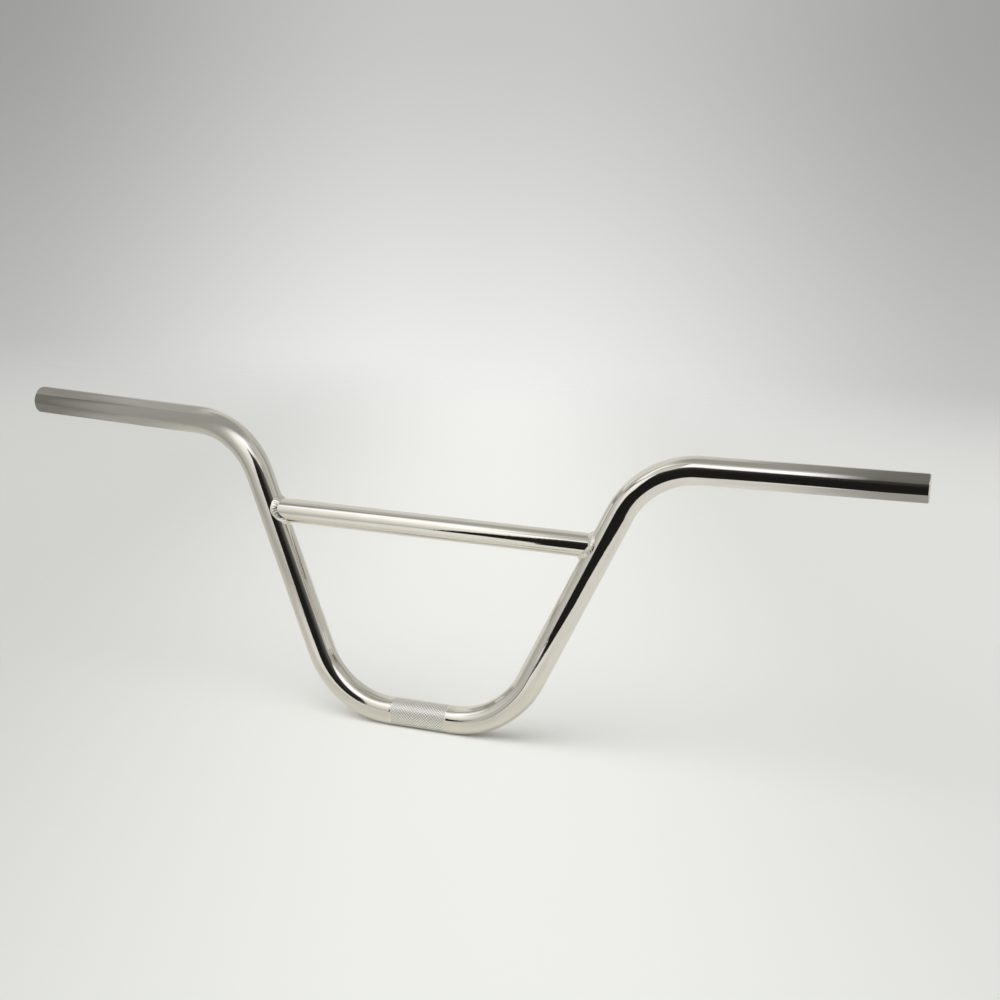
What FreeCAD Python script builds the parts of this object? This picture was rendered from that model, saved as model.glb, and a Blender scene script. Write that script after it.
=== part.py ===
"""BMX handlebar: one bent steel tube with a knurled clamp seat, and a crossbar welded between its legs.

Millimetres. The origin is the middle of the clamp seat, +X runs along the clamp to the right as seen from the
front, +Y points back towards the rider, and +Z is up.
"""
import FreeCAD, Part
import math
import os
from FreeCAD import Vector

# Form of the bar, measured on the tube's centreline
OVERALL_WIDTH = 748.0
RISE = 218.0
BACKSWEEP_DEG = 7.0
UPSWEEP_DEG = 0.5
LEG_ANGLE_DEG = 65.8
CLAMP_STRAIGHT = 51.0
LOWER_BEND_RADIUS = 70.0
UPPER_BEND_RADIUS = 65.0

# Main tube
TUBE_DIAMETER = 22.2
TUBE_WALL = 1.5
END_CHAMFER = 1.0

# Crossbar, with its place given down the leg from where the upper bend starts
CROSSBAR_DIAMETER = 19.05
CROSSBAR_WALL = 1.2
CROSSBAR_BELOW_BEND = 29.0

# Vent through the leg's wall into each end of the crossbar, for gas in welding and drainage in plating
VENT_DIAMETER = 5.0

# Weld bead, a chain of overlapping puddles: its reach along each tube's skin, the crown of a puddle over the
# straight line between the toes, the dip between two puddles, the distance between puddles round the crossbar,
# how far the bead's root and toes go into the tubes before they are trimmed, and the flats across the crown
WELD_LEG = 3.8
WELD_CROWN = 0.4
WELD_RIPPLE = 0.15
WELD_PITCH = 3.0
WELD_ROOT = 1.0
WELD_TOE_SINK = 0.25
CROWN_FLAT_COUNT = 6

TUBE_RADIUS = TUBE_DIAMETER / 2
BORE_RADIUS = TUBE_RADIUS - TUBE_WALL
CROSSBAR_RADIUS = CROSSBAR_DIAMETER / 2
LEG_ANGLE = math.radians(LEG_ANGLE_DEG)
FRONT_TO_BACK = Vector(0, 1, 0)
ALONG_CLAMP = Vector(1, 0, 0)
LEG_DIRECTION = Vector(math.cos(LEG_ANGLE), 0, math.sin(LEG_ANGLE))
LEG_INWARD = Vector(-math.sin(LEG_ANGLE), 0, math.cos(LEG_ANGLE))


def grip_direction():
    """Unit vector along the right grip: swept back from the clamp's line, and turned a little up."""
    sweep = math.radians(BACKSWEEP_DEG)
    up = math.radians(UPSWEEP_DEG)
    return Vector(math.cos(up) * math.cos(sweep), math.cos(up) * math.sin(sweep), math.sin(up))


def tangent_length(radius, turn):
    """How far from a sharp corner a bend of this radius starts and ends."""
    return radius * math.tan(turn / 2)


def right_corners():
    """Sharp corners of the right half: foot of the leg, top of the leg, end of the grip.

    The leg's length and the grip's length follow from the rise and the overall width.
    """
    grip = grip_direction()
    foot = ALONG_CLAMP * (CLAMP_STRAIGHT / 2 + tangent_length(LOWER_BEND_RADIUS, LEG_ANGLE))
    reach = OVERALL_WIDTH / 2 - foot.x
    determinant = LEG_DIRECTION.x * grip.z - LEG_DIRECTION.z * grip.x
    leg_length = (reach * grip.z - RISE * grip.x) / determinant
    grip_length = (LEG_DIRECTION.x * RISE - LEG_DIRECTION.z * reach) / determinant
    top = foot + LEG_DIRECTION * leg_length
    return foot, top, top + grip * grip_length


def mirrored(point):
    """The same point on the left half."""
    return Vector(-point.x, point.y, point.z)


def bent_path(corners, radii):
    """Wire of straight runs and tangent arcs: each inner corner is rounded by its own radius."""
    edges = []
    run_start = corners[0]
    for before, corner, after, radius in zip(corners, corners[1:], corners[2:], radii):
        arriving = (corner - before).normalize()
        leaving = (after - corner).normalize()
        turn = arriving.getAngle(leaving)
        tangent = tangent_length(radius, turn)
        bend_start = corner - arriving * tangent
        bend_end = corner + leaving * tangent
        to_corner = (arriving - leaving).normalize()
        bend_middle = corner - to_corner * radius * (1 / math.cos(turn / 2) - 1)
        edges.append(Part.LineSegment(run_start, bend_start).toShape())
        edges.append(Part.Arc(bend_start, bend_middle, bend_end).toShape())
        run_start = bend_end
    edges.append(Part.LineSegment(run_start, corners[-1]).toShape())
    return Part.Wire(edges)


def round_bar(path, start, direction, radius):
    """Solid rod of a round section carried along a path."""
    section = Part.Face(Part.Wire(Part.makeCircle(radius, start, direction)))
    return path.makePipe(section)


def rim_edges(solid, centre, radius):
    """Circular edges of a solid with this centre and radius."""
    tolerance = 1e-4
    return [
        edge
        for edge in solid.Edges
        if isinstance(edge.Curve, Part.Circle)
        and abs(edge.Curve.Radius - radius) < tolerance
        and (edge.Curve.Center - centre).Length < tolerance
    ]


def crossbar_joint(top):
    """Where the crossbar's axis meets the right leg's axis."""
    turn = LEG_DIRECTION.getAngle(grip_direction())
    return top - LEG_DIRECTION * (tangent_length(UPPER_BEND_RADIUS, turn) + CROSSBAR_BELOW_BEND)


def joint_cylinder(joint, radius):
    """Solid cylinder on the right leg's axis, long enough to cope and trim what meets the leg there."""
    half = CROSSBAR_DIAMETER + TUBE_DIAMETER + 2 * WELD_LEG
    return Part.makeCylinder(radius, 2 * half, joint - LEG_DIRECTION * half, LEG_DIRECTION)


def make_handlebar_tube(foot, top, end, joint):
    """The bent tube, open at both ends, with chamfered rims and the two vents."""
    corners = [mirrored(end), mirrored(top), mirrored(foot), foot, top, end]
    radii = [UPPER_BEND_RADIUS, LOWER_BEND_RADIUS, LOWER_BEND_RADIUS, UPPER_BEND_RADIUS]
    path = bent_path(corners, radii)
    direction = (corners[1] - corners[0]).normalize()
    tube = round_bar(path, corners[0], direction, TUBE_RADIUS)
    tube = tube.cut(round_bar(path, corners[0], direction, BORE_RADIUS))
    for tip in (corners[0], corners[-1]):
        tube = tube.makeChamfer(END_CHAMFER, rim_edges(tube, tip, TUBE_RADIUS))
    vents = Part.makeCylinder(VENT_DIAMETER / 2, 2 * joint.x, mirrored(joint), ALONG_CLAMP)
    return tube.cut(vents)


def make_crossbar(joint):
    """The straight tube between the legs, coped at both ends to sit on the legs' skin."""
    crossbar = Part.makeCylinder(CROSSBAR_RADIUS, 2 * joint.x, mirrored(joint), ALONG_CLAMP)
    bore = Part.makeCylinder(CROSSBAR_RADIUS - CROSSBAR_WALL, 2 * joint.x, mirrored(joint), ALONG_CLAMP)
    right_leg = joint_cylinder(joint, TUBE_RADIUS)
    left_leg = right_leg.mirror(Vector(0, 0, 0), ALONG_CLAMP)
    return crossbar.cut([bore, right_leg, left_leg])


def on_skin(point, normal, axis, radius, heading, distance):
    """The point reached by going a distance along a cylinder's skin from a point on it."""
    around = axis.cross(normal)
    turn = heading.dot(around) * distance / radius
    lifted = normal * (radius * (math.cos(turn) - 1)) + around * (radius * math.sin(turn))
    return point + axis * (heading.dot(axis) * distance) + lifted


def weld_section(joint, angle, crown_height):
    """Section of the bead at one angle round the crossbar, square to the seam.

    The seam is where the crossbar's skin meets the leg's. The toes lie one weld leg along each skin,
    the crown follows an arc over them in equal flats, and the root lies inside both tubes.
    """
    across = CROSSBAR_RADIUS * math.cos(angle)
    height = CROSSBAR_RADIUS * math.sin(angle)
    inward = math.sqrt(TUBE_RADIUS**2 - across**2)
    seam = joint + Vector((math.cos(LEG_ANGLE) * height - inward) / math.sin(LEG_ANGLE), across, height)
    crossbar_normal = Vector(0, math.cos(angle), math.sin(angle))
    leg_normal = (LEG_INWARD * inward + FRONT_TO_BACK * across) * (1 / TUBE_RADIUS)
    along_seam = crossbar_normal.cross(leg_normal).normalize()
    off_leg = along_seam.cross(crossbar_normal)
    off_crossbar = leg_normal.cross(along_seam)
    bar_toe = on_skin(seam, crossbar_normal, ALONG_CLAMP, CROSSBAR_RADIUS, off_leg, WELD_LEG)
    leg_toe = on_skin(seam, leg_normal, LEG_DIRECTION, TUBE_RADIUS, off_crossbar, WELD_LEG)
    outward = (crossbar_normal + leg_normal).normalize()
    crown = (bar_toe + leg_toe) * 0.5 + outward * crown_height
    bar_toe = bar_toe - outward * WELD_TOE_SINK
    leg_toe = leg_toe - outward * WELD_TOE_SINK
    root = seam - outward * WELD_ROOT
    crown_points = Part.Arc(bar_toe, crown, leg_toe).toShape().discretize(CROWN_FLAT_COUNT + 1)
    return Part.makePolygon(crown_points + [root, crown_points[0]])


def make_weld_right(joint):
    """Bead round the crossbar's right end: half a ring of puddles, mirrored and trimmed to both skins.

    Sections run from under the crossbar to over it, by turns at the edge and at the crest of a puddle.
    """
    steps = 2 * round(math.pi * CROSSBAR_RADIUS / WELD_PITCH)
    crowns = [WELD_CROWN - WELD_RIPPLE, WELD_CROWN]
    sections = [weld_section(joint, math.pi * (step / steps - 0.5), crowns[step % 2]) for step in range(steps + 1)]
    half = Part.makeLoft(sections, True, True)
    ring = half.fuse(half.mirror(Vector(0, 0, 0), FRONT_TO_BACK))
    crossbar = Part.makeCylinder(CROSSBAR_RADIUS, 2 * joint.x, mirrored(joint), ALONG_CLAMP)
    return ring.cut([joint_cylinder(joint, TUBE_RADIUS), crossbar])


def main():
    foot, top, end = right_corners()
    joint = crossbar_joint(top)
    weld_right = make_weld_right(joint)
    nodes = {
        "handlebar_tube": make_handlebar_tube(foot, top, end, joint),
        "crossbar": make_crossbar(joint),
        "weld_left": weld_right.mirror(Vector(0, 0, 0), ALONG_CLAMP),
        "weld_right": weld_right,
    }
    os.makedirs("parts", exist_ok=True)
    for name, shape in nodes.items():
        shape.exportStep("parts/" + name + ".step")
        print(name, "solids", len(shape.Solids), "valid", shape.isValid(), "volume", round(shape.Volume, 2))


main()
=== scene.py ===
"""Looks of a plated BMX handlebar: a bent tube, a crossbar and two weld beads, on a pale studio floor.

Lengths are in millimetres until a mesh is made, and in metres in materials. The origin is the middle of the
clamp seat, +X runs along the clamp to the right as seen from the front, +Y points back towards the rider, and
+Z is up.
"""
import math
import bpy
import numpy as np
from mathutils import Matrix, Vector


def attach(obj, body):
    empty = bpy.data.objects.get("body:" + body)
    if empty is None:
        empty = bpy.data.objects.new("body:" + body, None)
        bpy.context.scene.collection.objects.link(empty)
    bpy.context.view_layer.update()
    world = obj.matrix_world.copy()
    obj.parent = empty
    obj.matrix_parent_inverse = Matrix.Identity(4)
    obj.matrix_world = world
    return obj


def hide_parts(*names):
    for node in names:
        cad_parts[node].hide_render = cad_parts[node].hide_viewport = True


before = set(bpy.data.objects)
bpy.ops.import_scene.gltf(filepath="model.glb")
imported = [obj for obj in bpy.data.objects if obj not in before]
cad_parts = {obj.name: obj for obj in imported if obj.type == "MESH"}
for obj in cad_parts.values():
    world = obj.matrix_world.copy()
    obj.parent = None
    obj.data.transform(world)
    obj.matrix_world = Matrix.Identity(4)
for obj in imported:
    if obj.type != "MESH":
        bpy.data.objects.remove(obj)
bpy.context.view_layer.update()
MM = 0.001
FULL_TURN = 2 * math.pi

# Form of the bar on its centreline
OVERALL_WIDTH = 748.0
RISE = 218.0
BACKSWEEP = math.radians(7.0)
UPSWEEP = math.radians(0.5)
LEG_ANGLE = math.radians(65.8)
CLAMP_STRAIGHT = 51.0
LOWER_BEND_RADIUS = 70.0
UPPER_BEND_RADIUS = 65.0

# Main tube, with its chamfered rims
TUBE_RADIUS = 11.1
BORE_RADIUS = 9.6
END_CHAMFER = 1.0
EDGE_BREAK = 0.15

# Grid of the tube: steps along a bend, the leg and the grip, on the skin and in the bore, and the bore's
# marks along half the clamp
SKIN_STEPS = (30, 11, 13)
BORE_STEPS = (14, 5, 6)
BORE_CLAMP_MARKS = np.array([0.0, 12.0])

# Diamond knurl of the clamp seat: its length, the diamonds round the tube, the depth of its grooves, the
# grid's steps across a diamond, and the plain rows that follow it closely
KNURL_LENGTH = 48.0
KNURL_DIAMONDS = 29
KNURL_DEPTH = 0.27
STEPS_PER_DIAMOND = 7
PLAIN_ROWS = 3

# Crossbar, with its place given down the leg from where the upper bend starts, and its grid: points round it,
# and stations along its skin and its bore
CROSSBAR_RADIUS = 9.525
CROSSBAR_BORE = 8.325
CROSSBAR_BELOW_BEND = 29.0
CROSSBAR_AROUND = 144
CROSSBAR_SKIN_STATIONS = 31
CROSSBAR_BORE_STATIONS = 13

# Weld bead: reach along each skin, crown, ripple height, lean of the crest towards the crossbar (1 is none),
# ripples round a bead, their bow, how far the toes sink, and the grid's steps
WELD_LEG = 3.2
WELD_CROWN = 0.4
WELD_RIPPLE = 0.1
WELD_LEAN = 0.9
WELD_RIPPLES = 30
WELD_BOW = 0.55
WELD_TOE_SINK = 0.12
WELD_STATIONS = 416
WELD_ACROSS = 20

# Unevenness of the bead: waves of its toes as (size, waves round the bead, start), the share of its reach
# that it loses under the crossbar, the share of its crown that is left over and under the crossbar, the
# drift of its ripples, that drift's waves round the bead, and the steepness of the ripples' fronts
TOE_WAVES = ((0.05, 5, 0.7), (0.04, 11, 2.1))
REACH_LOST_BELOW = 0.22
LEAST_FULLNESS = 0.12
RIPPLE_DRIFT = 0.12
RIPPLE_DRIFT_WAVES = 7
RIPPLE_FRONT = 0.3

# Edges that turn by more than this are shaded sharp
SHARP_ANGLE = math.radians(38.0)

ACROSS = np.array([1.0, 0.0, 0.0])
BACK = np.array([0.0, 1.0, 0.0])
UP = np.array([0.0, 0.0, 1.0])
MIRROR = np.array([-1.0, 1.0, 1.0])
LEG = np.array([math.cos(LEG_ANGLE), 0.0, math.sin(LEG_ANGLE)])
LEG_INWARD = np.array([-math.sin(LEG_ANGLE), 0.0, math.cos(LEG_ANGLE)])
GRIP = np.array([
    math.cos(UPSWEEP) * math.cos(BACKSWEEP),
    math.cos(UPSWEEP) * math.sin(BACKSWEEP),
    math.sin(UPSWEEP),
])


def unit(vectors):
    """Each vector divided by its own length."""
    return vectors / np.linalg.norm(vectors, axis=-1, keepdims=True)


def right_corners():
    """Sharp corners of the right half's centreline: foot and top of the leg, and the grip's end.

    The leg and the grip have known directions, so their two lengths solve the two equations in x and z that
    the half width and the rise set.
    """
    foot = ACROSS * (CLAMP_STRAIGHT / 2 + LOWER_BEND_RADIUS * math.tan(LEG_ANGLE / 2))
    reach = [OVERALL_WIDTH / 2 - foot[0], RISE]
    leg_length, grip_length = np.linalg.solve(np.column_stack([LEG[[0, 2]], GRIP[[0, 2]]]), reach)
    top = foot + LEG * leg_length
    return foot, top, top + GRIP * grip_length


def straight(start, end, side, steps):
    """Stations between two points, both left out: equal steps along the line, with one frame."""
    share = np.arange(1, steps)[:, None] / steps
    points = start + share * (end - start)
    return points, np.tile(unit(end - start), (steps - 1, 1)), np.tile(side, (steps - 1, 1))


def bend(corner, arriving, leaving, side, radius, steps):
    """Stations on a bend, both ends kept: start + radius * (sin turn * arriving + (1 - cos turn) * inward).

    The frame's side turns with the bend about the bend's own axis, so it never twists.
    """
    whole_turn = math.acos(arriving @ leaving)
    turn = np.linspace(0, whole_turn, steps + 1)[:, None]
    inward = unit(leaving - arriving * (arriving @ leaving))
    axis = np.cross(arriving, inward)
    start = corner - arriving * radius * math.tan(whole_turn / 2)
    points = start + radius * (np.sin(turn) * arriving + (1 - np.cos(turn)) * inward)
    forward = np.cos(turn) * arriving + np.sin(turn) * inward
    to_centre = np.cos(turn) * inward - np.sin(turn) * arriving
    return points, forward, (side @ inward) * to_centre + (side @ axis) * axis


def half_path(clamp_marks, bend_steps, leg_steps, grip_steps):
    """Stations from the clamp's middle to the right end: clamp, lower bend, leg, upper bend, grip.

    Returns points, forward directions, side directions and the distance along the path.
    """
    foot, top, end = right_corners()
    count = len(clamp_marks)
    clamp = clamp_marks[:, None] * ACROSS, np.tile(ACROSS, (count, 1)), np.tile(BACK, (count, 1))
    lower = bend(foot, ACROSS, LEG, BACK, LOWER_BEND_RADIUS, bend_steps)
    upper = bend(top, LEG, GRIP, lower[2][-1], UPPER_BEND_RADIUS, bend_steps)
    leg = straight(lower[0][-1], upper[0][0], lower[2][-1], leg_steps)
    grip = straight(upper[0][-1], end, upper[2][-1], grip_steps)
    points, forward, sides = (np.concatenate(part) for part in zip(clamp, lower, leg, upper, grip))
    along = np.concatenate([[0], np.cumsum(np.linalg.norm(np.diff(points, axis=0), axis=1))])
    return points, forward, sides, along


def rings(points, forward, sides, radii, around):
    """Circles round stations: point + radius * (cos a * side + sin a * (forward x side))."""
    upward = np.cross(forward, sides)
    turn = around[None, :, None]
    radial = np.cos(turn) * sides[:, None] + np.sin(turn) * upward[:, None]
    return points[:, None] + radii[..., None] * radial


def knurl_height(along, around):
    """Height of the knurl from 0 in a groove to 1 on a crest, and the knurl's share of the skin along it.

    Two families of helical grooves cross. Each wave runs from 0 midway between two grooves to 1 in a groove,
    by the phase around the tube plus or minus the phase along it, and a diamond is the product of two
    parabolas.
    """
    pitch = FULL_TURN * TUBE_RADIUS / KNURL_DIAMONDS
    turn_phase = KNURL_DIAMONDS * around[None, :] / FULL_TURN
    run_phase = along[:, None] / pitch
    waves = [np.abs(2 * ((turn_phase + sign * run_phase) % 1.0) - 1) for sign in (1, -1)]
    height = (1 - waves[0] ** 2) * (1 - waves[1] ** 2)
    fade = ((KNURL_LENGTH / 2 - along) / (pitch / 2)).clip(0, 1)[:, None]
    return 1 - fade * (1 - height), fade


def end_profile():
    """Rim of the tube as (distance from its end, radius) pairs: broken chamfer, flat face, broken bore edge.

    A ring close behind each broken edge keeps the shading of the long skins straight.
    """
    chamfer_foot = TUBE_RADIUS - END_CHAMFER
    return np.array([
        (-END_CHAMFER - 3 * EDGE_BREAK, TUBE_RADIUS),
        (-END_CHAMFER - EDGE_BREAK, TUBE_RADIUS),
        (-END_CHAMFER + EDGE_BREAK, TUBE_RADIUS - EDGE_BREAK),
        (-EDGE_BREAK, chamfer_foot + EDGE_BREAK),
        (0.0, chamfer_foot - EDGE_BREAK),
        (0.0, BORE_RADIUS + EDGE_BREAK),
        (-EDGE_BREAK, BORE_RADIUS),
        (-3 * EDGE_BREAK, BORE_RADIUS),
    ])


def both_halves(half, mirrored=1.0):
    """A closed loop of rows: the right half, then its mirror image in reverse without the shared rows."""
    return np.concatenate([half, half[-2:0:-1] * mirrored])


def tube_surface():
    """The whole tube as a closed grid of rings, with each point's place on the skin, groove and knurl share.

    The right half runs from the clamp's middle along the outer skin to the rim and back along the bore. Its
    mirror image, taken in reverse, closes the loop.
    """
    points_round = KNURL_DIAMONDS * STEPS_PER_DIAMOND
    around = np.arange(points_round) * FULL_TURN / points_round
    row_step = FULL_TURN * TUBE_RADIUS / points_round
    clamp_marks = np.arange(0, KNURL_LENGTH / 2 + PLAIN_ROWS * row_step, row_step)
    points, forward, sides, along = half_path(clamp_marks, *SKIN_STEPS)
    height, knurled = knurl_height(along, around)
    outer = rings(points, forward, sides, TUBE_RADIUS - KNURL_DEPTH * (1 - height), around)
    rim = end_profile()
    tip = right_corners()[2]
    rim_forward = np.tile(GRIP, (len(rim), 1))
    rim_sides = np.tile(sides[-1], (len(rim), 1))
    edge = rings(tip + rim[:, :1] * GRIP, rim_forward, rim_sides, rim[:, 1:], around)
    bore_points, bore_forward, bore_sides, bore_along = half_path(BORE_CLAMP_MARKS, *BORE_STEPS)
    bore_radii = np.full((len(bore_points), 1), BORE_RADIUS)
    bore = rings(bore_points, bore_forward, bore_sides, bore_radii, around)[::-1]
    half = np.concatenate([outer, edge, bore])
    half_along = np.concatenate([along, along[-1] + np.arange(1, len(rim) + 1), bore_along[::-1]])
    half_groove = np.zeros(half.shape[:2])
    half_knurl = np.zeros(half.shape[:2])
    half_groove[: len(along)] = 1 - height
    half_knurl[: len(along)] = knurled
    skin = np.stack(np.broadcast_arrays(
        TUBE_RADIUS * np.cos(around)[None, :],
        TUBE_RADIUS * np.sin(around)[None, :],
        both_halves(half_along, -1.0)[:, None],
    ), axis=-1)
    return both_halves(half, MIRROR), skin, both_halves(half_groove), both_halves(half_knurl)


def crossbar_joint():
    """Where the crossbar's axis meets the right leg's axis."""
    top = right_corners()[1]
    turn = math.acos(LEG @ GRIP)
    return top - LEG * (UPPER_BEND_RADIUS * math.tan(turn / 2) + CROSSBAR_BELOW_BEND)


def leg_skin_x(joint, across, height):
    """X of the right leg's inner skin at a place across and over the joint, from the leg's circle."""
    inward = np.sqrt(TUBE_RADIUS**2 - across**2)
    return joint[0] + (math.cos(LEG_ANGLE) * height - inward) / math.sin(LEG_ANGLE)


def crossbar_surface():
    """The crossbar as one closed grid: outer skin from cope to cope, then its bore back again.

    At each angle the ends lie where the line along the crossbar meets the legs' skins.
    """
    joint = crossbar_joint()
    around = np.linspace(0, FULL_TURN, CROSSBAR_AROUND, endpoint=False)
    skin_share = np.linspace(-1, 1, CROSSBAR_SKIN_STATIONS)
    bore_share = np.linspace(1, -1, CROSSBAR_BORE_STATIONS)
    shares = np.concatenate([skin_share, bore_share])
    radii = np.where(np.arange(len(shares)) < len(skin_share), CROSSBAR_RADIUS, CROSSBAR_BORE)
    across = radii[:, None] * np.cos(around)
    height = radii[:, None] * np.sin(around)
    run = shares[:, None] * leg_skin_x(joint, across, height)
    surface = np.stack([run, across, joint[2] + height], axis=-1)
    return surface, np.stack([across, height, run], axis=-1)


def slide_on_skin(point, normal, axis, radius, heading, distance):
    """Points reached by going a distance on a cylinder's skin: straight along its axis, turning round it."""
    around = np.cross(axis, normal)
    turn = (heading * around).sum(-1, keepdims=True) * distance / radius
    lift = normal * radius * (np.cos(turn) - 1) + around * radius * np.sin(turn)
    return point + axis * (heading * axis).sum(-1, keepdims=True) * distance + lift


def weld_surface():
    """Bead round the crossbar's right end as a closed grid: stations round the seam by points across it.

    The seam is where both skins meet. The toes lie one weld leg along each skin. The crown is a leaning
    parabola over the line between the toes, flatter over and under the crossbar, with ripples that bow
    forward in the middle of the bead. The section closes back under the skins through the seam.
    """
    joint = crossbar_joint()
    angle = (np.arange(WELD_STATIONS) * FULL_TURN / WELD_STATIONS)[:, None]
    across = CROSSBAR_RADIUS * np.cos(angle)
    height = CROSSBAR_RADIUS * np.sin(angle)
    inward = np.sqrt(TUBE_RADIUS**2 - across**2)
    seam = np.hstack([leg_skin_x(joint, across, height), across, joint[2] + height])
    bar_normal = np.hstack([0 * angle, np.cos(angle), np.sin(angle)])
    leg_normal = (LEG_INWARD * inward + BACK * across) / TUBE_RADIUS
    along_seam = unit(np.cross(bar_normal, leg_normal))
    wobble = sum(size * np.sin(waves * angle + start) for size, waves, start in TOE_WAVES)
    reach = WELD_LEG * (1 - REACH_LOST_BELOW * (-np.sin(angle)).clip(0, 1))
    off_leg = np.cross(along_seam, bar_normal)
    off_bar = np.cross(leg_normal, along_seam)
    bar_toe = slide_on_skin(seam, bar_normal, ACROSS, CROSSBAR_RADIUS, off_leg, reach * (1 + wobble))
    leg_toe = slide_on_skin(seam, leg_normal, LEG, TUBE_RADIUS, off_bar, reach * (1 - wobble))
    outward = unit(bar_normal + leg_normal)
    share = np.linspace(0, 1, WELD_ACROSS)[None, :]
    leaning = share**WELD_LEAN
    dome = 4 * leaning * (1 - leaning)
    travel = np.abs(np.angle(np.exp(1j * (angle + math.pi / 2)))) / FULL_TURN
    phase = WELD_RIPPLES * travel - WELD_BOW * dome + RIPPLE_DRIFT * np.sin(RIPPLE_DRIFT_WAVES * angle)
    ripple = np.cos(FULL_TURN * phase) + RIPPLE_FRONT * np.sin(2 * FULL_TURN * phase)
    fullness = LEAST_FULLNESS + (1 - LEAST_FULLNESS) * np.cos(angle) ** 2
    crown = WELD_CROWN * fullness * dome + 0.5 * WELD_RIPPLE * ripple * np.sqrt(dome) - WELD_TOE_SINK
    chord = bar_toe[:, None] + share[..., None] * (leg_toe - bar_toe)[:, None]
    over = chord + crown[..., None] * outward[:, None]
    root = (seam - outward * WELD_TOE_SINK)[:, None]
    return np.concatenate([over, 0.5 * (over[:, -1:] + root), root, 0.5 * (over[:, :1] + root)], axis=1)


def closed_faces(rows, columns, height=None):
    """Quads of a grid that closes on itself both ways, each split along its lower diagonal by the heights."""
    tolerance = 1e-9
    row = np.arange(rows)[:, None]
    column = np.arange(columns)[None, :]
    next_row = (row + 1) % rows
    next_column = (column + 1) % columns
    corners = [(row, column), (row, next_column), (next_row, next_column), (next_row, column)]
    quads = np.stack([i * columns + j for i, j in corners], axis=-1).reshape(-1, 4)
    if height is None:
        return quads
    level = height.reshape(-1)[quads]
    turned = level[:, 1] + level[:, 3] < level[:, 0] + level[:, 2] - tolerance
    return np.where(turned[:, None], np.roll(quads, -1, axis=1), quads)


def add_piece(name, surface, faces, material, node, attributes=()):
    """A smooth-shaded mesh in metres that stands for a node of the bar, with named values on its points."""
    mesh = bpy.data.meshes.new(name)
    mesh.from_pydata((surface.reshape(-1, 3) * MM).tolist(), [], faces.tolist())
    for label, values in attributes:
        kind, field = ("FLOAT_VECTOR", "vector") if values.ndim == 3 else ("FLOAT", "value")
        layer = mesh.attributes.new(label, kind, "POINT")
        layer.data.foreach_set(field, values.astype(np.float32).ravel())
    mesh.shade_smooth()
    mesh.set_sharp_from_angle(angle=SHARP_ANGLE)
    mesh.materials.append(material)
    piece = bpy.data.objects.new(name, mesh)
    bpy.context.scene.collection.objects.link(piece)
    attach(piece, "root")
    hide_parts(node)


class Value:
    """A number that varies over a surface or with direction: an output socket that operators combine."""

    def __init__(self, tree, socket):
        self.tree = tree
        self.socket = socket

    def __add__(self, other):
        return self.tree.math("ADD", self, other)

    __radd__ = __add__

    def __sub__(self, other):
        return self.tree.math("SUBTRACT", self, other)

    def __rsub__(self, other):
        return self.tree.math("SUBTRACT", other, self)

    def __mul__(self, other):
        return self.tree.math("MULTIPLY", self, other)

    __rmul__ = __mul__

    def rise(self, low, high):
        """0 below low, 1 above high, and a smooth step between them."""
        settings = {"interpolation_type": "SMOOTHSTEP"}
        inputs = {"Value": self, "From Min": low, "From Max": high}
        return self.tree.value("ShaderNodeMapRange", "Result", settings, inputs)

    def fall(self, low, high):
        """1 below low, 0 above high, and a smooth step between them."""
        return 1 - self.rise(low, high)

    def within(self, outer_low, inner_low, inner_high, outer_high):
        """1 between the inner values, 0 outside the outer ones, and a smooth step on each side."""
        return self.rise(outer_low, inner_low) * self.fall(inner_high, outer_high)

    def to(self, low, high):
        """The share from 0 to 1 spread between two values."""
        return low + self * (high - low)

    def towards(self, other, share):
        """This value moved towards another one by a share."""
        return self + share * (other - self)


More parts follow.
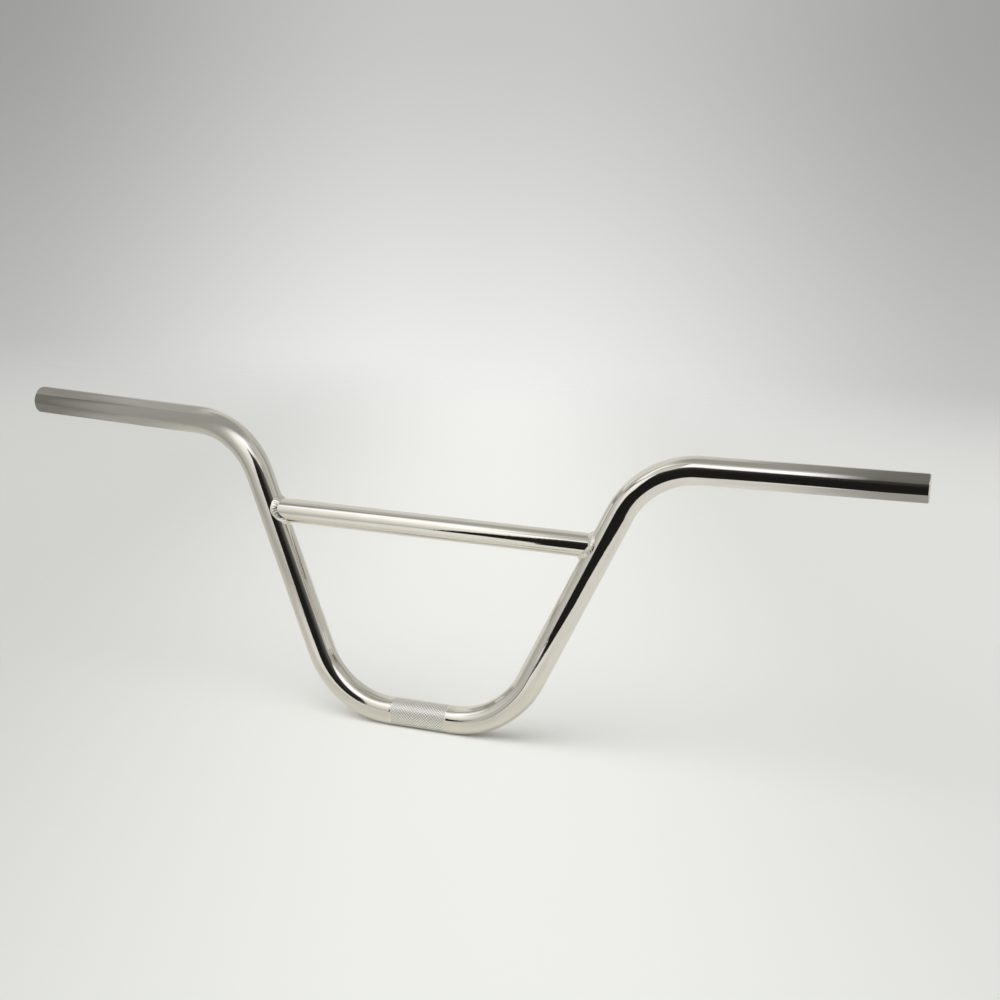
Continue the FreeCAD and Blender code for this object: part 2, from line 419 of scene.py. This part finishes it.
class Tree:
    """A node tree under construction."""

    def __init__(self, owner):
        owner.use_nodes = True
        self.nodes = owner.node_tree.nodes
        self.links = owner.node_tree.links
        self.nodes.clear()

    def add(self, kind, settings=None, inputs=None):
        """A new node: its settings are set first, then each named input gets a number or a link."""
        node = self.nodes.new(kind)
        for name, setting in (settings or {}).items():
            setattr(node, name, setting)
        for name, given in (inputs or {}).items():
            source = getattr(given, "socket", given)
            if isinstance(source, bpy.types.NodeSocket):
                self.links.new(source, node.inputs[name])
            else:
                node.inputs[name].default_value = source
        return node

    def value(self, kind, output, settings=None, inputs=None):
        """One output of a new node, ready for expressions."""
        return Value(self, self.add(kind, settings, inputs).outputs[output])

    def math(self, operation, first, second=0.0):
        """One operation on two values or numbers."""
        return self.value("ShaderNodeMath", 0, {"operation": operation}, {0: first, 1: second})

    def parts(self, vector):
        """The three parts of a vector."""
        node = self.add("ShaderNodeSeparateXYZ", None, {0: vector})
        return [Value(self, node.outputs[axis]) for axis in "XYZ"]

    def coordinates(self, kind):
        """A vector of texture coordinates."""
        return self.add("ShaderNodeTexCoord").outputs[kind]

    def attribute(self, name):
        """A named value on the piece's points."""
        return self.value("ShaderNodeAttribute", "Fac", {"attribute_name": name})

    def noise(self, vector, scale, detail):
        """Smooth noise from 0 to 1 over a vector."""
        inputs = {"Vector": vector, "Scale": scale, "Detail": detail}
        return self.value("ShaderNodeTexNoise", "Fac", None, inputs)

    def stretched(self, vector, factors):
        """A vector multiplied by three factors."""
        node = self.add("ShaderNodeVectorMath", {"operation": "MULTIPLY"}, {0: vector, 1: factors})
        return node.outputs["Vector"]

    def blend(self, share, first, second):
        """A colour mixed between two colours by a share."""
        node = self.add("ShaderNodeMix", {"data_type": "RGBA"})
        for name, given in (("A_Color", first), ("B_Color", second)):
            socket = next(s for s in node.inputs if s.identifier == name)
            if isinstance(given, bpy.types.NodeSocket):
                self.links.new(given, socket)
            else:
                socket.default_value = given
        factor = next(s for s in node.inputs if s.identifier == "Factor_Float")
        self.links.new(share.socket, factor)
        return next(s for s in node.outputs if s.identifier == "Result_Color")

    def cover(self, share, shader):
        """A shader that covers what is behind it by a share."""
        clear = self.add("ShaderNodeBsdfTransparent")
        return self.add("ShaderNodeMixShader", None, {0: share, 1: clear.outputs[0], 2: shader.outputs[0]})

    def finish(self, kind, shader):
        """Links a shader's first output to the tree's output node."""
        self.add(kind, None, {"Surface": shader.outputs[0]})


# Plating, warm nickel under a thin bright top coat: the bright skin, its smears, and the knurl's crests and
# grooves, lighter on the crests as a painted glint and darker in the grooves as painted shade
PLATE = (0.845, 0.81, 0.722, 1.0)
PLATE_DULL = (0.787, 0.75, 0.656, 1.0)
PLATE_CREST_GLINT = (1.0, 0.985, 0.915, 1.0)
PLATE_GROOVE_SHADE = (0.54, 0.525, 0.47, 1.0)

# Roughness of the tubes, and what smears, draw lines and the knurl add to it
TUBE_ROUGHNESS = 0.045
SMEAR_ROUGHNESS = 0.022
LINE_ROUGHNESS = 0.02
KNURL_ROUGHNESS = 0.25

# Roughness of a bead, and what its patches and its grain add to it
BEAD_ROUGHNESS = 0.19
PATCH_ROUGHNESS = 0.09
GRAIN_ROUGHNESS = 0.05

# Patterns on the tubes' skin, by millimetres: how much smears and draw lines are drawn out along the tube,
# and how fine smears, draw lines and the plating's slight waves are
SMEAR_STRETCH = (1.0, 1.0, 0.25)
LINE_STRETCH = (1.0, 1.0, 0.012)
SMEAR_SCALE = 0.09
LINE_SCALE = 1.6
WAVE_SCALE = 0.22

# Patterns on a bead, by metres
GRAIN_SCALE = 900.0
PATCH_SCALE = 160.0


def plated_metal(tree, colour, roughness, relief):
    """Ends a material's tree in metal of this colour, roughness and relief."""
    shader = tree.add("ShaderNodeBsdfPrincipled", None, {
        "Base Color": colour,
        "Metallic": 1.0,
        "Roughness": roughness,
        "Normal": relief.outputs["Normal"],
    })
    tree.finish("ShaderNodeOutputMaterial", shader)


def plated_tube(name):
    """Bright plating over drawn tube: faint lines along it, soft smears in the gloss, painted glints on the
    knurl's crests and painted shade in its grooves.
    """
    material = bpy.data.materials.new(name)
    tree = Tree(material)
    skin = tree.add("ShaderNodeAttribute", {"attribute_name": "skin"}).outputs["Vector"]
    groove = tree.attribute("groove")
    knurl = tree.attribute("knurl")
    smear = tree.noise(tree.stretched(skin, SMEAR_STRETCH), SMEAR_SCALE, 3.0).rise(0.42, 0.75)
    lines = tree.noise(tree.stretched(skin, LINE_STRETCH), LINE_SCALE, 2.0)
    waves = tree.noise(skin, WAVE_SCALE, 1.0)
    plain = tree.blend(smear, PLATE, PLATE_DULL)
    # Painted glints on the knurl's crests and painted shade in its grooves, by the depth of the groove
    knurl_glint_and_shade = tree.blend(groove.rise(0.25, 0.95), PLATE_CREST_GLINT, PLATE_GROOVE_SHADE)
    colour = tree.blend(knurl, plain, knurl_glint_and_shade)
    roughness = TUBE_ROUGHNESS + SMEAR_ROUGHNESS * smear + LINE_ROUGHNESS * lines + KNURL_ROUGHNESS * knurl
    height = waves + 0.25 * lines
    relief = tree.add("ShaderNodeBump", None, {"Strength": 0.05, "Distance": 0.0004, "Height": height})
    plated_metal(tree, colour, roughness, relief)
    return material


def plated_weld(name):
    """Plating over a weld bead: the same metal, a little less smooth, with fine grain between the ripples."""
    material = bpy.data.materials.new(name)
    tree = Tree(material)
    place = tree.coordinates("Object")
    grain = tree.noise(place, GRAIN_SCALE, 3.0)
    patches = tree.noise(place, PATCH_SCALE, 2.0).rise(0.4, 0.7)
    colour = tree.blend(patches, PLATE, PLATE_DULL)
    roughness = BEAD_ROUGHNESS + PATCH_ROUGHNESS * patches + GRAIN_ROUGHNESS * grain
    relief = tree.add("ShaderNodeBump", None, {"Strength": 0.15, "Distance": 0.0003, "Height": grain})
    plated_metal(tree, colour, roughness, relief)
    return material


# Floor: its colour, the painted shade that darkens its left and right, its radius in metres, where it starts
# and ends fading into the backdrop, the points of its rim, and the level direction from left to right across
# it
FLOOR_COLOUR = (0.82, 0.822, 0.803, 1.0)
FLOOR_SHADE = (0.30, 0.301, 0.295, 1.0)
FLOOR_RADIUS = 9.0
FLOOR_FADE = (1.2, 4.5)
FLOOR_POINTS = 96
RIGHTWARD = (0.946, 0.325)

# Light by direction: strengths of the backdrop low and high, the walls, what is added where they are paler,
# the ceiling, the window, the dark room in front and to its right, and the sky that lights the floor, even
# and towards the window, with the tints of the room and the window
BACKDROP = 0.92
BACKDROP_HIGH = 0.56
WALLS = 0.54
PALER_WALLS = 0.19
CEILING = 0.355
WINDOW = 1.25
DARK_ROOM = 0.012
DARK_ROOM_RIGHT = 0.14
SKY = 0.387
SKY_WINDOW = 2.24
ROOM_TINT = (1.0, 1.0, 0.985, 1.0)
WINDOW_TINT = (0.99, 1.0, 1.13, 1.0)

# Soft edges of that light in degrees: bearings from straight in front, more to the right, and heights over
# level
WINDOW_BEARINGS = (-68.0, -47.0, 44.0, 58.0)
WINDOW_HEIGHTS = (30.0, 36.0, 51.0, 62.0)
DARK_BEARINGS = (-72.0, -60.0, 54.0, 68.0)
DARK_TOP = (28.0, 34.0)
CEILING_EDGE = (54.0, 76.0)

# Light of most dull cards
DULL = 0.335

# The photograph's view: the lens's place in metres, its direction, roll, focal length and sensor, and the
# nearest and farthest things that it shows
VIEW_PLACE = (0.4917, -1.2715, 0.3808)
VIEW_DIRECTION = (-0.3213, 0.9353, -0.1485)
VIEW_ROLL = math.radians(3.42)
FOCAL_LENGTH = 63.52
SENSOR_WIDTH = 36.0
NEAREST = 0.05
FARTHEST = 60.0


def add_stage(name, points, material):
    """A stage object of one face, from its corners in millimetres."""
    mesh = bpy.data.meshes.new(name)
    mesh.from_pydata((np.asarray(points, float) * MM).tolist(), [], [list(range(len(points)))])
    mesh.materials.append(material)
    thing = bpy.data.objects.new(name, mesh)
    bpy.context.scene.collection.objects.link(thing)
    return thing


def add_floor():
    """A pale disc under the bar, with painted shade that darkens it to its left and right, that fades into
    the backdrop.
    """
    material = bpy.data.materials.new("floor_paper")
    tree = Tree(material)
    place = tree.coordinates("Object")
    distance = tree.value("ShaderNodeVectorMath", "Value", {"operation": "LENGTH"}, {0: place})
    across, back, height = tree.parts(place)
    # Painted shade: the floor's colour darkens towards its left and right
    beside = RIGHTWARD[0] * across + RIGHTWARD[1] * back
    shade = 0.36 * (0.0 - beside).rise(-0.02, 0.46) + 0.27 * beside.rise(0.05, 0.46)
    colour = tree.blend(shade, FLOOR_COLOUR, FLOOR_SHADE)
    paper = tree.add("ShaderNodeBsdfDiffuse", None, {"Color": colour, "Roughness": 0.5})
    tree.finish("ShaderNodeOutputMaterial", tree.cover(distance.fall(*FLOOR_FADE), paper))
    turn = np.linspace(0, FULL_TURN, FLOOR_POINTS, endpoint=False)
    radius = FLOOR_RADIUS / MM
    level = np.full(FLOOR_POINTS, -TUBE_RADIUS)
    add_stage("floor", np.column_stack([radius * np.cos(turn), radius * np.sin(turn), level]), material)


def add_card(name, corners, light, cover=None):
    """A studio card seen only in reflections.

    Its light is a number, or a function of the place on it in metres. How much of what is behind it the card
    covers is such a function too, and where none is given it covers all.
    """
    material = bpy.data.materials.new(name)
    tree = Tree(material)
    place = tree.parts(tree.coordinates("Object"))
    glow = {"Color": light(*place)} if callable(light) else {"Strength": light}
    shader = tree.add("ShaderNodeEmission", None, glow)
    if cover:
        shader = tree.cover(cover(*place), shader)
    tree.finish("ShaderNodeOutputMaterial", shader)
    card = add_stage(name, corners, material)
    card.visible_camera = False
    card.visible_diffuse = False
    card.visible_shadow = False


def upright_card(start, end, bottom, top):
    """Corners of a card that stands on a line of the floor plan, from one height to another."""
    return [(*start, bottom), (*end, bottom), (*end, top), (*start, top)]


def level_card(left, right, front, back, height):
    """Corners of a card that lies level at one height."""
    return [(left, front, height), (right, front, height), (right, back, height), (left, back, height)]


def add_floor_cards(floor_level):
    """What reflections see of the floor: its pale parts, and the dark room past the paper's front edge."""
    paper_edge = [
        (-9000, -522), (-190, -522), (-129, -490), (-50, -400), (-15, -300), (5, -228), (60, -215),
        (207, -206), (240, -230), (267, -236), (310, -216), (366, -168), (420, -136), (2000, 640),
    ]
    room_corners = [(9000, 640), (9000, -9000), (-9000, -9000)]
    dark_floor = [(x, y, floor_level) for x, y in paper_edge + room_corners]
    add_card("dark_floor_in_front", dark_floor, light=DARK_ROOM)
    add_card(
        "pale_floor_in_front",
        level_card(-1500, 300, -520, -60, floor_level - 0.2),
        light=lambda across, back, height: across.rise(-0.4, -0.16).to(0.45, 0.83),
        cover=lambda across, back, height: back.fall(-0.18, -0.06),
    )
    add_card(
        "pale_floor_right",
        level_card(140, 430, -300, 300, floor_level - 0.1),
        light=0.75,
        cover=lambda across, back, height: across.rise(0.14, 0.2),
    )


def add_walls(floor_level):
    """Pale walls to the left in front, and a low grey strip by the lower right bend with a dark edge."""
    wall_corners = [
        (-2500, floor_level), (-2500, 620), (-62, 620), (-75, 454), (-85, 360), (-135, 235), (-168, 150),
        (-185, 80), (-200, floor_level),
    ]

    def wall_light(across, back, height):
        return across.rise(-0.95, -0.5).to(0.4, 0.5) + height * across.rise(-0.54, -0.28).to(0.38, 1.3)

    def past_edge(across, height):
        return across - 0.72 * height - 0.048

    def strip_light(across, back, height):
        dark_edge = past_edge(across, height).rise(-0.009, 0.001)
        return 0.52 - dark_edge * height.rise(-0.01, 0.035).to(0.08, 0.4)

    def strip_cover(across, back, height):
        return past_edge(across, height).within(-0.036, -0.024, 0.002, 0.007) * height.fall(0.044, 0.06)

    add_card("pale_wall_left", [(x, -522, z) for x, z in wall_corners], wall_light)
    add_card(
        "grey_strip_by_bend",
        upright_card((-30, -60), (95, -60), floor_level, 62),
        strip_light,
        strip_cover,
    )
    add_card(
        "pale_wall_far_left",
        upright_card((-3000, -1150), (-290, -1150), 380, 950),
        light=0.9,
        cover=lambda across, back, height: across.fall(-0.355, -0.305),
    )


def add_flags():
    """Dull flags that stand round the bar and take the shine off parts of it."""
    add_card(
        "dull_flag_left",
        upright_card((-640, -100), (-100, -100), 70, 700),
        light=lambda across, back, height: across.rise(-0.5, -0.4).to(0.17, DULL),
        cover=lambda across, back, height: (across - 0.7 * height).fall(-0.435, -0.355),
    )
    add_card(
        "dull_flag_behind_left",
        upright_card((-700, 250), (-260, 250), 150, 420),
        light=lambda across, back, height: across.rise(-0.54, -0.43).to(0.31, 0.5),
        cover=lambda across, back, height: across.fall(-0.36, -0.27),
    )
    add_card(
        "dull_flag_behind_right",
        upright_card((150, 400), (900, 400), 450, 1400),
        light=lambda across, back, height: across.rise(0.26, 0.4).to(0.5, DULL),
    )
    add_card(
        "dull_flag_middle",
        upright_card((-70, -200), (150, -200), 320, 560),
        light=lambda across, back, height: height.rise(0.42, 0.5).to(0.67, 0.43),
        cover=lambda across, back, height: across.rise(-0.07, 0.02),
    )
    add_card(
        "grey_flag_right",
        upright_card((280, -120), (420, -120), 255, 560),
        light=lambda across, back, height: height.rise(0.29, 0.35).to(0.03, 0.15),
        cover=lambda across, back, height: across.rise(0.285, 0.355),
    )


def add_roofs_and_shelves(floor_level):
    """Dull cards that lie level over and under the grips, and a pale board that stands by the right grip."""
    add_card(
        "dull_roof_left",
        level_card(-650, -240, -100, 250, 400),
        light=lambda across, back, height: across.rise(-0.48, -0.41).to(0.3, 0.41),
        cover=lambda across, back, height: across.fall(-0.34, -0.25),
    )
    add_card(
        "dull_roof_right",
        level_card(205, 430, -40, 180, 330),
        light=lambda across, back, height: across.rise(0.25, 0.36).to(DULL, 0.165),
        cover=lambda across, back, height: across.rise(0.21, 0.27),
    )
    add_card(
        "dull_shelf_right",
        level_card(215, 450, -40, 120, 150),
        light=lambda across, back, height: across.rise(0.22, 0.36).to(0.75, 0.34),
    )
    add_card(
        "dull_shelf_left",
        level_card(-480, -230, -65, 120, 150),
        light=lambda across, back, height: across.rise(-0.42, -0.33).to(0.22, 0.4),
        cover=lambda across, back, height: across.fall(-0.32, -0.24),
    )
    add_card("pale_board_right", upright_card((420, -120), (420, 200), floor_level, 260), light=0.7)


def add_studio_light():
    """Light by direction: a window high in front, a dark room low in front, pale walls and a duller ceiling.

    Reflections see all of it. The floor is lit by an even sky that is stronger towards the window, and the
    camera sees a backdrop with painted shade that darkens it higher up and towards both sides.
    """
    world = bpy.data.worlds.new("studio")
    bpy.context.scene.world = world
    tree = Tree(world)
    x, y, z = tree.parts(tree.coordinates("Generated"))
    bearing = tree.math("ARCTAN2", x, 0.0 - y) * math.degrees(1)
    height = tree.math("ARCSINE", z) * math.degrees(1)
    left = (0.0 - x).rise(-0.1, 0.5)
    walls = WALLS + PALER_WALLS * left + PALER_WALLS * (1 - left) * height.fall(2.0, 14.0)
    walls = walls.towards(CEILING, height.rise(*CEILING_EDGE))
    dark = bearing.rise(20.0, 66.0).to(DARK_ROOM, DARK_ROOM_RIGHT) + 0.022 * height.rise(12.0, 26.0)
    room = walls.towards(dark, bearing.within(*DARK_BEARINGS) * height.fall(*DARK_TOP))
    window = height.within(*WINDOW_HEIGHTS) * bearing.within(*WINDOW_BEARINGS)
    reflected = room.towards(WINDOW, window)
    towards_window = (0.0 - y) * 0.64 + z * 0.72 - x * 0.27
    sky = SKY + SKY_WINDOW * towards_window.rise(0.6, 1.0)
    rays = tree.add("ShaderNodeLightPath")
    camera_ray = Value(tree, rays.outputs["Is Camera Ray"])
    glossy_ray = Value(tree, rays.outputs["Is Glossy Ray"])
    beside = RIGHTWARD[0] * x + RIGHTWARD[1] * y
    # Painted shade on the backdrop that the camera sees: darker towards both sides and higher up
    sides = 1 - 0.42 * (0.0 - beside).rise(0.05, 0.31) - 0.36 * beside.rise(0.0, 0.28)
    backdrop = z.rise(-0.16, 0.14).to(BACKDROP, BACKDROP_HIGH) * sides
    strength = sky.towards(reflected, glossy_ray).towards(backdrop, camera_ray)
    tint = tree.blend(glossy_ray * window, ROOM_TINT, WINDOW_TINT)
    glow = tree.add("ShaderNodeBackground", None, {"Color": tint, "Strength": strength})
    tree.finish("ShaderNodeOutputWorld", glow)


def add_camera():
    """The photograph's view of the bar."""
    data = bpy.data.cameras.new("view")
    data.sensor_width = SENSOR_WIDTH
    data.lens = FOCAL_LENGTH
    data.clip_start = NEAREST
    data.clip_end = FARTHEST
    camera = bpy.data.objects.new("view", data)
    bpy.context.scene.collection.objects.link(camera)
    ahead = unit(np.array(VIEW_DIRECTION))
    level = unit(np.cross(ahead, UP))
    upright = np.cross(level, ahead)
    right = math.cos(VIEW_ROLL) * level + math.sin(VIEW_ROLL) * upright
    top = math.cos(VIEW_ROLL) * upright - math.sin(VIEW_ROLL) * level
    turn = Matrix(np.column_stack([right, top, -ahead]).tolist()).to_4x4()
    camera.matrix_world = Matrix.Translation(Vector(VIEW_PLACE)) @ turn
    bpy.context.scene.camera = camera


def build_bar():
    """The four pieces of the bar."""
    bright = plated_tube("bright_plating")
    bead = plated_weld("plated_bead")
    surface, skin, groove, knurl = tube_surface()
    faces = closed_faces(*groove.shape, height=-groove)
    places = [("skin", skin), ("groove", groove), ("knurl", knurl)]
    add_piece("bent_tube", surface, faces, bright, "handlebar_tube", places)
    surface, skin = crossbar_surface()
    faces = closed_faces(*surface.shape[:2])
    add_piece("cross_tube", surface, faces, bright, "crossbar", [("skin", skin)])
    bead_right = weld_surface()
    faces = closed_faces(*bead_right.shape[:2])
    add_piece("bead_right", bead_right, faces, bead, "weld_right")
    add_piece("bead_left", bead_right[::-1] * MIRROR, faces, bead, "weld_left")


def build_studio():
    """Floor, cards just over the floor and round the bar, light and camera."""
    floor_level = -TUBE_RADIUS + 0.3
    add_floor()
    add_floor_cards(floor_level)
    add_walls(floor_level)
    add_flags()
    add_roofs_and_shelves(floor_level)
    add_studio_light()
    add_camera()
    bpy.context.scene.view_settings.view_transform = "Standard"


build_bar()
build_studio()
bpy.context.view_layer.update()
